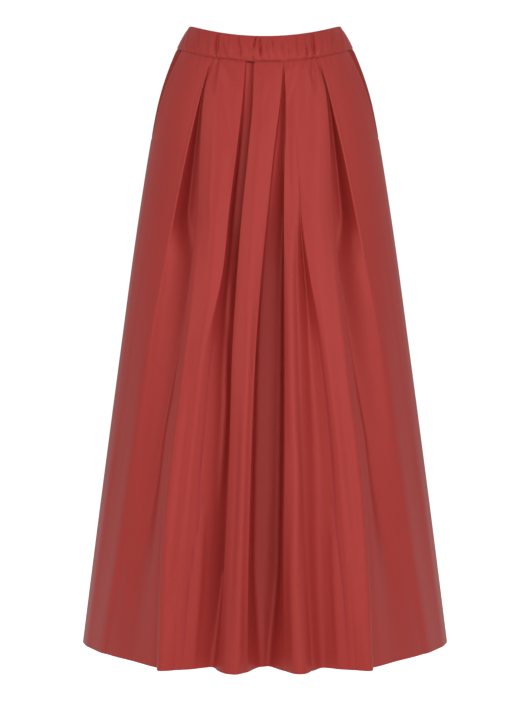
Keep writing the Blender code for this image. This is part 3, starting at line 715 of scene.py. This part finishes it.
def makeFacing(name, side):
    rows = pocketFacing["endShare"] * np.linspace(0, 1, pocketFacing["rows"])

    def places(share, marks):
        far = pocketMouth(share) + pocketFacing["lap"]
        at = np.linspace(0.5 * skirtForm["gap"], far, pocketFacing["columns"] + 1)
        return at if side < 0 else marks[-1] - at[::-1]

    cloth = layCloth(frontLine, places, rows, skirtForm["seamDipFront"])
    mouths = np.array([pocketMouth(share) for share in rows])[:, None]
    under = 1 - easeBetween(*pocketFacing["fade"], mouths - cloth["fromSeam"])
    shift = -(pocketFacing["inset"] + skirtForm["clothThickness"] * 0.5) * under
    outer, inner, flat = finishCloth(cloth, shift, pocketFacing["thickness"], -1)
    return shellObject(name, outer, inner, flat, np.zeros(cloth["arc"].shape), -1)


facings = {
    "pocket_facing_left": makeFacing("pocketFacingLeftCloth", -1),
    "pocket_facing_right": makeFacing("pocketFacingRightCloth", 1),
}
print("pocket facings made")


# waistband

waistband = {
    "topHeight": 0.019,
    "topDipFront": 0.03,
    "topDipBack": 0.004,
    "planTop": (0.12, 0.097, 0.095),        # half width, front depth, back depth
    "planSeam": (0.1405, 0.104, 0.104),
    "puff": 0.0016,
    "wall": 0.0032,
    "columns": 300,
    "outerRows": 30,
    "topRows": 8,
    "innerRows": 8,
    "seamRoll": 0.0012,         # how far the lower edge rolls in to the seam, and over what share
    "seamRollShare": 0.1,
    "sharpAngle": 60,
    "gathers": 22,
    "gatherDepth": 2.0,
}

# Creases of the front of the band: path points are (metres across, share of the height down)
bandSideCreases = [             # on the left, and mirrored on the right
    crease(2.2, 2, (-0.1155, -0.1), (-0.1245, 1.05)),
    crease(-1.4, 1.8, (-0.1205, -0.1), (-0.129, 0.95)),
    crease(-2, 1.2, (-0.1095, 0.55), (-0.112, 1.08)),
    crease(-1.8, (2.2, 1.3), (-0.102, 0), (-0.103, 0.8)),
    crease(1.2, 2.2, (-0.099, 0.05), (-0.099, 0.7)),
    crease(-0.9, 1.8, (-0.09, 0.2), (-0.091, 0.9)),
    crease(1.3, 2.4, (-0.083, 0.05), (-0.0835, 0.95)),
    crease(-4.2, (1.6, 4.2), (-0.0735, -0.25), (-0.076, 0.75)),
    crease(-3.6, 1.6, (-0.074, 0), (-0.0765, 1.15)),
]
bandMiddleCreases = [
    crease(1.9, 2.4, (-0.069, 0.2), (-0.065, 1)),
    crease(-2.2, 1.5, (-0.0665, 0.15), (-0.0585, 1.02)),
    crease(2, 2.8, (-0.052, -0.05), (-0.053, 0.9)),
    crease(-3.3, 2, (-0.0425, -0.1), (-0.038, 0.8)),
    crease(-1.8, 1.4, (-0.037, 0.45), (-0.0375, 1.06)),
    crease(1.9, 3, (-0.0315, -0.05), (-0.0285, 0.9)),
    crease(-3.4, 1.7, (-0.0135, -0.1), (-0.019, 0.6)),
    crease(1.8, 2, (-0.011, 0.05), (-0.0125, 0.8)),
    crease(-2.4, 1.1, (-0.02, 0.7), (-0.0165, 1.06)),
    crease(-3, 1.6, (-0.008, -0.1), (-0.006, 1.12)),
    crease(1.6, 2.6, (-0.001, 0.05), (0, 0.95)),
    crease(-1.6, 1.8, (0.004, 0), (0.0045, 0.95)),
    crease(1.4, 2, (0.0085, 0), (0.009, 0.8)),
    crease(-1.7, (1.8, 1.4), (0.0115, -0.1), (0.0145, 0.7)),
    crease(2, 2.8, (0.0205, 0), (0.02, 1)),
    crease(-2, 1.8, (0.0275, 0.05), (0.029, 0.98)),
    crease(1.5, 2.2, (0.0335, 0), (0.0335, 0.8)),
    crease(-1.5, 1.6, (0.036, 0.35), (0.0385, 1.1)),
    crease(1.9, 2.8, (0.044, -0.05), (0.045, 0.95)),
    crease(-1.7, 1.7, (0.048, -0.05), (0.053, 0.95)),
    crease(1.9, 2.4, (0.059, 0), (0.059, 0.95)),
    crease(-2.3, 1.3, (0.063, 0.35), (0.0655, 1.08)),
    crease(1.6, 2, (0.068, 0.3), (0.07, 1)),
]
mirroredCreases = [mirroredCrease(made, lambda u: -u) for made in bandSideCreases]


def backBandCreases():
    # gathers of the same kind all along the back, uneven in length, depth and spacing
    creases = []
    count = waistband["gathers"]
    for k in range(1, count):
        x = 0.128 * math.sin(math.pi * (k / count - 0.5)) + 0.004 * math.sin(5.3 * k)
        top = -0.05 + 0.2 * (1 + math.sin(2.1 * k)) * (k % 3 > 0)
        bottom = 1.08 - 0.22 * (1 + math.sin(3.7 * k + 1)) * (k % 3 == 1)
        depth = waistband["gatherDepth"] * (1.0 + 0.5 * math.sin(1.7 * k))
        lean = 0.003 * math.sin(2.9 * k)
        creases.append(crease(-depth, 1.5 + 0.5 * math.sin(4.1 * k), (x, top), (x + lean, bottom)))
    return creases


def bandPlan(share, which):
    # half width and depth at a share of the way from the top edge to the seam
    top, seam = waistband["planTop"], waistband["planSeam"]
    return [top[k] + (seam[k] - top[k]) * share for k in (0, which)]


def makeBand(name, side, creases):
    dipTop = waistband["topDipFront"] if side < 0 else waistband["topDipBack"]
    dipSeam = skirtForm["seamDipFront"] if side < 0 else skirtForm["seamDipBack"]
    which = 1 if side < 0 else 2
    angle = np.linspace(np.pi, 0.0, waistband["columns"] + 1)
    sine = np.clip(np.sin(angle), 0, 1)
    x, y = planPoints(*bandPlan(0.5, which), 2.0, angle)
    arc = np.concatenate([[0.0], np.cumsum(np.hypot(np.diff(x), np.diff(y)))])
    top = waistband["topHeight"] - dipTop * sine ** skirtForm["dipCurve"]
    seam = levelHeight(0, sine, dipSeam) + skirtForm["gap"]
    height = top - seam
    rows = waistband["outerRows"]
    shares = gatheredShares(rows, 0.6)          # of the height, from the top edge to the seam
    shareGrid = np.repeat(shares[:, None], len(angle), 1)
    cloth = {"arc": np.repeat(arc[None], rows + 1, 0), "down": shareGrid * height[None]}

    def place(across, share):
        at = np.arccos(np.clip(across / bandPlan(share, which)[0], -1, 1))
        column = np.interp(-at, -angle, np.arange(len(angle)))
        return (np.interp(column, np.arange(len(arc)), arc),
                share * np.interp(column, np.arange(len(arc)), height))

    puff = waistband["puff"] * np.sin(np.pi * shareGrid) ** 0.7
    roll = waistband["seamRoll"] * easeBetween(1 - waistband["seamRollShare"], 1.0, shareGrid)
    rise = puff - roll + addCreases(cloth, creases, place)
    half = 0.5 * waistband["wall"]

    def ring(share, offset, lift):
        plan = bandPlan(share, which)
        px, py = planPoints(*plan, 2.0, angle)
        nx, ny = planNormals(*plan, 2.0, angle)
        z = top + (seam - top) * share + lift
        gap = 0.5 * skirtForm["gap"]
        return np.stack([px + nx * offset, side * np.maximum(py + ny * offset, gap), z], -1)

    # the section runs up the outside, over the folded top edge and down the inside
    grid = []
    down = []
    for k in range(rows, 0, -1):
        grid.append(ring(shares[k], rise[k], 0.0))
        down.append(shares[k])
    for turn in np.linspace(0.0, np.pi, waistband["topRows"] + 1):
        offset = -half + half * np.cos(turn) + rise[0] * 0.5 * (1 + np.cos(turn))
        grid.append(ring(0.0, offset, half * (np.sin(turn) - 1)))
        down.append(0.0)
    for share in np.linspace(0, 1, waistband["innerRows"] + 1)[1:]:
        grid.append(ring(share, np.full(len(angle), -waistband["wall"]), 0.0))
        down.append(-share)
    points = np.array(grid)
    rings, columns = points.shape[:2]
    index = np.arange(rings * columns).reshape(rings, columns)
    closed = np.vstack([index, index[:1]])
    faces = np.stack([closed[:-1, :-1], closed[:-1, 1:], closed[1:, 1:], closed[1:, :-1]], -1).reshape(-1, 4)
    ends = [index[:, 0].tolist(), index[::-1, -1].tolist()]
    if side > 0:
        faces = faces[:, ::-1]
        ends = [end[::-1] for end in ends]
    flat = np.stack([np.repeat(arc[None] - 0.5 * arc[-1], rings, 0),
                     -np.array(down)[:, None] * height[None]], -1).reshape(-1, 2)
    return clothObject(name, points.reshape(-1, 3), faces.tolist() + ends, flat,
                       np.zeros(rings * columns), waistband["sharpAngle"])


bands = {
    "waistband_front": makeBand("waistbandFrontCasing", -1,
                                bandSideCreases + mirroredCreases + bandMiddleCreases),
    "waistband_back": makeBand("waistbandBackCasing", 1, backBandCreases()),
}
print("waistband made")


# materials

def groupWith(name, inputs, outputs):
    group = bpy.data.node_groups.new(name, "ShaderNodeTree")
    for label, kind, default in inputs:
        socket = group.interface.new_socket(label, in_out="INPUT", socket_type=kind)
        if default is not None:
            socket.default_value = default
    for label, kind in outputs:
        group.interface.new_socket(label, in_out="OUTPUT", socket_type=kind)
    return group, group.nodes.new("NodeGroupInput"), group.nodes.new("NodeGroupOutput")


def mathNode(tree, operation, first, second=None):
    node = tree.nodes.new("ShaderNodeMath")
    node.operation = operation
    for socket, value in zip(node.inputs, (first, second)):
        if value is None:
            continue
        if isinstance(value, (int, float)):
            socket.default_value = value
        else:
            tree.links.new(value, socket)
    return node.outputs[0]


def setInputs(node, values):
    for name, value in values.items():
        node.inputs[name].default_value = value
    return node


def noiseNode(tree, vector, detail, scale):
    node = setInputs(tree.nodes.new("ShaderNodeTexNoise"), {"Detail": detail})
    tree.links.new(vector, node.inputs["Vector"])
    if isinstance(scale, float):
        node.inputs["Scale"].default_value = scale
    else:
        tree.links.new(scale, node.inputs["Scale"])
    return node.outputs[0]


def colorMix(tree, factor, first):
    node = tree.nodes.new("ShaderNodeMix")
    node.data_type = "RGBA"
    tree.links.new(factor, node.inputs["Factor"])
    tree.links.new(first, node.inputs["A"])
    return node


def makeWeaveGroup():
    # plain weave: warp and weft threads cross over and under, with the weft a little thicker
    group, given, result = groupWith(
        "taffetaWeave",
        [("Cloth", "NodeSocketVector", None), ("Warp Threads", "NodeSocketFloat", 2600.0),
         ("Weft Threads", "NodeSocketFloat", 2000.0), ("Slub", "NodeSocketFloat", 0.35)],
        [("Height", "NodeSocketFloat"), ("Slub", "NodeSocketFloat")])
    split = group.nodes.new("ShaderNodeSeparateXYZ")
    group.links.new(given.outputs["Cloth"], split.inputs[0])
    u = mathNode(group, "MULTIPLY", split.outputs["X"], given.outputs["Warp Threads"])
    v = mathNode(group, "MULTIPLY", split.outputs["Y"], given.outputs["Weft Threads"])
    crossings = mathNode(group, "ADD", mathNode(group, "FLOOR", u), mathNode(group, "FLOOR", v))
    over = mathNode(group, "PINGPONG", crossings, 1.0)
    waves = []
    for along in (u, v):
        turned = mathNode(group, "MULTIPLY", along, math.pi)
        waves.append(mathNode(group, "ABSOLUTE", mathNode(group, "SINE", turned)))
    warp, weft = waves
    under = mathNode(group, "SUBTRACT", 1.0, over)
    woven = mathNode(group, "ADD", mathNode(group, "MULTIPLY", warp, over),
                     mathNode(group, "MULTIPLY", weft, under))
    stretch = setInputs(group.nodes.new("ShaderNodeMapping"), {"Scale": (28.0, 620.0, 1.0)})
    group.links.new(given.outputs["Cloth"], stretch.inputs["Vector"])
    slub = mathNode(group, "MULTIPLY", noiseNode(group, stretch.outputs[0], 3.0, 1.0), given.outputs["Slub"])
    group.links.new(mathNode(group, "ADD", woven, slub), result.inputs["Height"])
    group.links.new(slub, result.inputs["Slub"])
    return group


def makeToneGroup():
    # broad, faint change of tone over the cloth, as dyed taffeta has
    group, given, result = groupWith(
        "dyeTone",
        [("Place", "NodeSocketVector", None), ("Scale", "NodeSocketFloat", 9.0),
         ("Low", "NodeSocketColor", (0.3, 0.03, 0.03, 1)), ("High", "NodeSocketColor", (0.4, 0.04, 0.04, 1))],
        [("Color", "NodeSocketColor"), ("Tone", "NodeSocketFloat")])
    broad = noiseNode(group, given.outputs["Place"], 2.0, given.outputs["Scale"])
    fine = noiseNode(group, given.outputs["Place"], 4.0,
                     mathNode(group, "MULTIPLY", given.outputs["Scale"], 26.0))
    tone = mathNode(group, "ADD", mathNode(group, "MULTIPLY", broad, 0.65),
                    mathNode(group, "MULTIPLY", fine, 0.35))
    mix = colorMix(group, tone, given.outputs["Low"])
    group.links.new(given.outputs["High"], mix.inputs["B"])
    group.links.new(mix.outputs["Result"], result.inputs["Color"])
    group.links.new(tone, result.inputs["Tone"])
    return group


weaveGroup = makeWeaveGroup()
toneGroup = makeToneGroup()

# the third colour of each look is the painted crease shade, a darker purplish red laid along the marked
# trough lines
taffetaLooks = {
    "skirtTaffeta": {
        "low": (0.332, 0.0325, 0.0278, 1), "high": (0.38, 0.0375, 0.032, 1),
        "pressed": (0.26, 0.02, 0.035, 1), "roughness": 0.4, "specular": 0.85,
    },
    # the band's colour is the skirt's made a little darker, as painted shade
    "bandTaffetaPaintedShade": {
        "low": (0.322, 0.0305, 0.0258, 1), "high": (0.37, 0.0355, 0.03, 1),
        "pressed": (0.26, 0.02, 0.035, 1), "roughness": 0.41, "specular": 0.85,
    },
    # the facing's colour is the skirt's made darker, as painted shade of the recess under the front panel's
    # slanted edge
    "facingTaffetaPaintedShade": {
        "low": (0.27, 0.019, 0.015, 1), "high": (0.31, 0.023, 0.018, 1),
        "pressed": (0.2, 0.02, 0.03, 1), "roughness": 0.57, "specular": 0.28,
    },
}
weaveRelief = {"strength": 0.25, "distance": 0.00006, "slubRoughness": 0.1}
glossTint = (1.0, 0.26, 0.24, 1)


def makeTaffeta(name):
    look = taffetaLooks[name]
    material = bpy.data.materials.new(name)
    material.use_nodes = True
    tree = material.node_tree
    shader = tree.nodes["Principled BSDF"]
    cloth = tree.nodes.new("ShaderNodeUVMap")
    cloth.uv_map = "cloth"
    place = tree.nodes.new("ShaderNodeTexCoord")
    weave = tree.nodes.new("ShaderNodeGroup")
    weave.node_tree = weaveGroup
    tree.links.new(cloth.outputs["UV"], weave.inputs["Cloth"])
    tone = tree.nodes.new("ShaderNodeGroup")
    tone.node_tree = toneGroup
    setInputs(tone, {"Low": look["low"], "High": look["high"]})
    tree.links.new(place.outputs["Object"], tone.inputs["Place"])
    # painted crease shade: the base colour turns darker and purplish along the marked trough lines
    mark = tree.nodes.new("ShaderNodeAttribute")
    mark.attribute_name = "pressed"
    mix = colorMix(tree, mark.outputs["Fac"], tone.outputs["Color"])
    mix.inputs["B"].default_value = look["pressed"]
    tree.links.new(mix.outputs["Result"], shader.inputs["Base Color"])
    slub = mathNode(tree, "MULTIPLY", weave.outputs["Slub"], weaveRelief["slubRoughness"])
    rough = mathNode(tree, "ADD", slub, look["roughness"])
    tree.links.new(rough, shader.inputs["Roughness"])
    bump = setInputs(tree.nodes.new("ShaderNodeBump"),
                     {"Distance": weaveRelief["distance"], "Strength": weaveRelief["strength"]})
    tree.links.new(weave.outputs["Height"], bump.inputs["Height"])
    tree.links.new(bump.outputs["Normal"], shader.inputs["Normal"])
    setInputs(shader, {"Specular IOR Level": look["specular"], "Specular Tint": glossTint})
    return material


materials = {name: makeTaffeta(name) for name in taffetaLooks}
print("materials made")


# the pieces' finishes and body; the frame parts they replace are hidden

def dress(piece, node, slot, material, flat, held, restsOn, area):
    piece.data.materials.append(materials[material])
    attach(piece, "root")
    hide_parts(node)
    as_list(restsOn)


clothPieces = [
    # piece, node, slot, finish, flat size, how it is held, what it hangs from, area if not a rectangle
    (bands["waistband_front"], "waistband_front", "taffeta", "bandTaffetaPaintedShade",
     (0.42, 0.042), "gathered", ["waistband_back"], None),
    (bands["waistband_back"], "waistband_back", "taffeta", "bandTaffetaPaintedShade",
     (0.42, 0.042), "gathered", ["waistband_front"], None),
    (frontPanelCloth, "front_panel", "taffeta", "skirtTaffeta",
     (0.93, 0.95), "hung", ["waistband_front"], 0.72),
    (backPanelCloth, "back_panel", "taffeta", "skirtTaffeta",
     (0.82, 0.95), "hung", ["waistband_back"], 0.65),
]
for node, facing in facings.items():
    clothPieces.append((facing, node, "taffeta_facing", "facingTaffetaPaintedShade",
                        (0.06, 0.14), "hung", ["waistband_front"], 0.0075))
for clothPiece in clothPieces:
    dress(*clothPiece)


# studio

studio = {
    "floorHeight": -1.16,
    "floorReach": 8.0,
    "floorGlow": 0.15,          # what the cloth gets from the floor, and what is seen on top of it
    "floorWhite": 0.55,
    "worldStrength": 0.43,
    "worldWhite": 1.05,         # as the camera sees it
    # name, place, what it points at, width and height, power
    "lights": [
        ("keyLeft", (-2.2, -2.0, 0.7), (0, 0, -0.5), (1.2, 1.8), 16.5),
        ("keyRight", (2.2, -2.0, 0.7), (0, 0, -0.5), (1.2, 1.8), 16.0),
        ("front", (0.4, -3.1, 0.25), (0, 0, -0.5), (2.2, 1.6), 24.0),
        ("top", (0, -1.2, 2.2), (0, 0, -0.4), (2.0, 1.2), 4.0),
    ],
}


def aim(made, place, target):
    made.location = place
    made.rotation_euler = (Vector(target) - Vector(place)).to_track_quat("-Z", "Y").to_euler()


def addAreaLight(name, place, target, size, power):
    data = bpy.data.lights.new(name, "AREA")
    data.shape = "RECTANGLE"
    data.size, data.size_y = size
    data.energy = power
    aim(addObject(name, data), place, target)


def cameraSees(tree, socket, light, extra):
    # the socket gets light, and extra on top of it where the camera looks
    ray = tree.nodes.new("ShaderNodeLightPath")
    seen = mathNode(tree, "MULTIPLY", ray.outputs["Is Camera Ray"], extra)
    tree.links.new(mathNode(tree, "ADD", light, seen), socket)


def makeWorld():
    world = bpy.data.worlds.new("studioWhite")
    bpy.context.scene.world = world
    world.use_nodes = True
    tree = world.node_tree
    back = tree.nodes["Background"]
    back.inputs["Color"].default_value = (1, 1, 1, 1)
    light = studio["worldStrength"]
    cameraSees(tree, back.inputs["Strength"], light, studio["worldWhite"] - light)


def makeFloor():
    mesh = bpy.data.meshes.new("floor")
    reach = studio["floorReach"]
    z = studio["floorHeight"]
    mesh.from_pydata([(-reach, -reach, z), (reach, -reach, z), (reach, reach, z), (-reach, reach, z)],
                     [], [(0, 1, 2, 3)])
    floor = addObject("studioFloor", mesh)
    material = bpy.data.materials.new("paleFloor")
    material.use_nodes = True
    tree = material.node_tree
    shader = tree.nodes["Principled BSDF"]
    setInputs(shader, {"Base Color": (0.92, 0.92, 0.92, 1), "Roughness": 0.9, "Specular IOR Level": 0.0,
                       "Emission Color": (1, 1, 1, 1)})
    cameraSees(tree, shader.inputs["Emission Strength"], studio["floorGlow"], studio["floorWhite"])
    mesh.materials.append(material)


photoCamera = {
    "place": (0.0, -2.5, -0.4184),
    "target": (0.0, 0.0, -0.4984),
    "lens": 79.83,
    "sensorWidth": 36.0,
}


def makeCamera():
    data = bpy.data.cameras.new("photoCamera")
    data.lens = photoCamera["lens"]
    data.sensor_width = photoCamera["sensorWidth"]
    camera = addObject("photoCamera", data)
    aim(camera, photoCamera["place"], photoCamera["target"])
    bpy.context.scene.camera = camera


makeWorld()
for light in studio["lights"]:
    addAreaLight(*light)
makeFloor()
makeCamera()
bpy.context.scene.view_settings.view_transform = "Standard"
bpy.context.scene.view_settings.look = "None"
print("studio and camera set")
